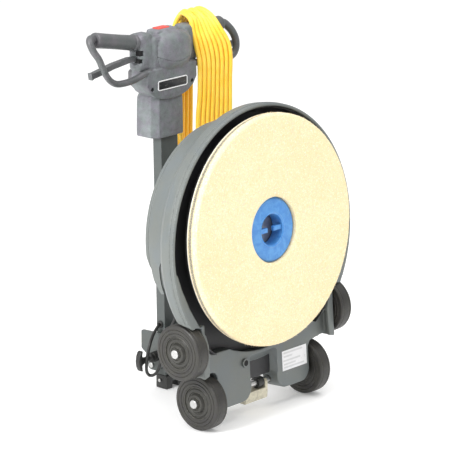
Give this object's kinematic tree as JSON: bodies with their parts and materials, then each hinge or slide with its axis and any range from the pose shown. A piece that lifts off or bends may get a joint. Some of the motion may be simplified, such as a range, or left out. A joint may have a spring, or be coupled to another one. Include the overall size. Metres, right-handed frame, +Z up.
{
  "type": "floor burnisher",
  "caption": "High speed floor burnisher tipped up on its tail: large round pad in a moulded deck, small wheels, folded handle with twin grips and a coiled cord.",
  "frame": {"origin": "on the floor under the middle of the machine's bounding box, in its storage stance", "axes": "+Z up, +X across the machine to the right of the pad as seen from its front, -Y the way the pad faces"},
  "size_m": [0.585, 0.427, 0.8665],
  "materials": {
    "housing_grey": "moulded, light texture",
    "liner_black": "matt",
    "pad_cream": "non-woven fibre pad",
    "rim_white": "hook face",
    "retainer_blue": "satin",
    "tyre_rubber": "worn, grooved side walls",
    "black_plastic": "moulded",
    "cable_black": "cable jacket",
    "zinc_steel": "bright zinc",
    "post_paint": "satin grey paint",
    "lamination_iron": "laminated",
    "head_grey": "mottled, coarse texture",
    "button_red": "satin",
    "label_white": "printed film, blank",
    "cord_yellow": "cable jacket",
    "copper": "wound iron core",
    "motor_alloy": "cast",
    "cream_plastic": "moulded"
  },
  "bodies": {
    "deck": {"deck_housing": "housing_grey", "inner_shroud": "liner_black", "motor_hood": "housing_grey", "rating_label": "label_white", "motor_case": "motor_alloy", "motor_end_bell": "motor_alloy", "stator": "copper", "front_bearing": "zinc_steel", "rear_bearing": "zinc_steel", "upper_left_wheel_bolt": "zinc_steel", "upper_right_wheel_bolt": "zinc_steel", "lower_axle": "zinc_steel", "axle_cap": "zinc_steel", "axle_collar": "black_plastic", "tail_skid": "cream_plastic", "handle_bracket": "post_paint", "pivot_pin": "zinc_steel", "clamp_boss": "black_plastic", "lug_bolt": "zinc_steel", "motor_cable": "cable_black"},
    "pad_drive": {"burnishing_pad": "pad_cream", "driver_grip_face": "rim_white", "pad_driver": "black_plastic", "driver_hub": "motor_alloy", "motor_shaft": "zinc_steel", "rotor": "lamination_iron", "cooling_fan": "black_plastic"},
    "pad_retainer": {"pad_retainer": "retainer_blue"},
    "clamp_knob": {"clamp_knob": "black_plastic"},
    "handle": {"handle_post": "post_paint", "pivot_bush": "zinc_steel", "end_foot": "black_plastic", "foot_bolt": "zinc_steel", "cable_grommet": "black_plastic", "head_housing": "head_grey", "head_back_cover": "head_grey", "head_front_cover": "head_grey", "head_collar": "head_grey", "left_grip": "head_grey", "right_grip": "head_grey", "left_guard_loop": "head_grey", "right_guard_loop": "head_grey", "left_lever_pin": "zinc_steel", "right_lever_pin": "zinc_steel", "switch_block": "black_plastic", "name_plate": "label_white", "cord_strain_relief": "black_plastic", "cord_coil": "cord_yellow", "cord_plug": "cord_yellow"},
    "left_lever": {"left_switch_lever": "head_grey"},
    "right_lever": {"right_switch_lever": "head_grey"},
    "safety_button": {"safety_button": "button_red"},
    "upper_left_wheel": {"upper_left_tyre": "tyre_rubber", "upper_left_hub": "black_plastic"},
    "upper_right_wheel": {"upper_right_tyre": "tyre_rubber", "upper_right_hub": "black_plastic"},
    "lower_left_wheel": {"lower_left_tyre": "tyre_rubber", "lower_left_hub": "black_plastic"},
    "lower_right_wheel": {"lower_right_tyre": "tyre_rubber", "lower_right_hub": "black_plastic"}
  },
  "joints": [
    {"name": "handle_fold", "type": "hinge", "parent": "deck", "child": "handle", "pos_m": [0, 0.12, 0.08], "axis": [-1, 0, 0], "range_deg": [0, 130]},
    {"name": "pad_spin", "type": "hinge", "parent": "deck", "child": "pad_drive", "pos_m": [0, -0.195, 0.4235], "axis": [0, -0.9972, 0.075], "continuous": true},
    {"name": "retainer_twist", "type": "hinge", "parent": "pad_drive", "child": "pad_retainer", "pos_m": [0, -0.195, 0.4235], "axis": [0, -0.9972, 0.075], "range_deg": [0, 45]},
    {"name": "upper_left_wheel_spin", "type": "hinge", "parent": "deck", "child": "upper_left_wheel", "pos_m": [-0.237, -0.1412, 0.1918], "axis": [1, 0, 0], "continuous": true},
    {"name": "upper_right_wheel_spin", "type": "hinge", "parent": "deck", "child": "upper_right_wheel", "pos_m": [0.237, -0.1412, 0.1918], "axis": [1, 0, 0], "continuous": true},
    {"name": "lower_left_wheel_spin", "type": "hinge", "parent": "deck", "child": "lower_left_wheel", "pos_m": [-0.172, -0.136, 0.062], "axis": [1, 0, 0], "continuous": true},
    {"name": "lower_right_wheel_spin", "type": "hinge", "parent": "deck", "child": "lower_right_wheel", "pos_m": [0.172, -0.136, 0.062], "axis": [1, 0, 0], "continuous": true},
    {"name": "clamp_knob_turn", "type": "hinge", "parent": "deck", "child": "clamp_knob", "pos_m": [0, 0.12, 0.08], "axis": [-1, 0, 0], "range_deg": [0, 180]},
    {"name": "left_lever_squeeze", "type": "hinge", "parent": "handle", "child": "left_lever", "pos_m": [-0.068, 0.134, 0.768], "axis": [0, 1, 0], "range_deg": [0, 6]},
    {"name": "right_lever_squeeze", "type": "hinge", "parent": "handle", "child": "right_lever", "pos_m": [0.068, 0.134, 0.768], "axis": [0, -1, 0], "range_deg": [0, 6]},
    {"name": "safety_button_press", "type": "slide", "parent": "handle", "child": "safety_button", "axis": [0, 0, -1], "range_m": [0, 0.002]}
  ]
}
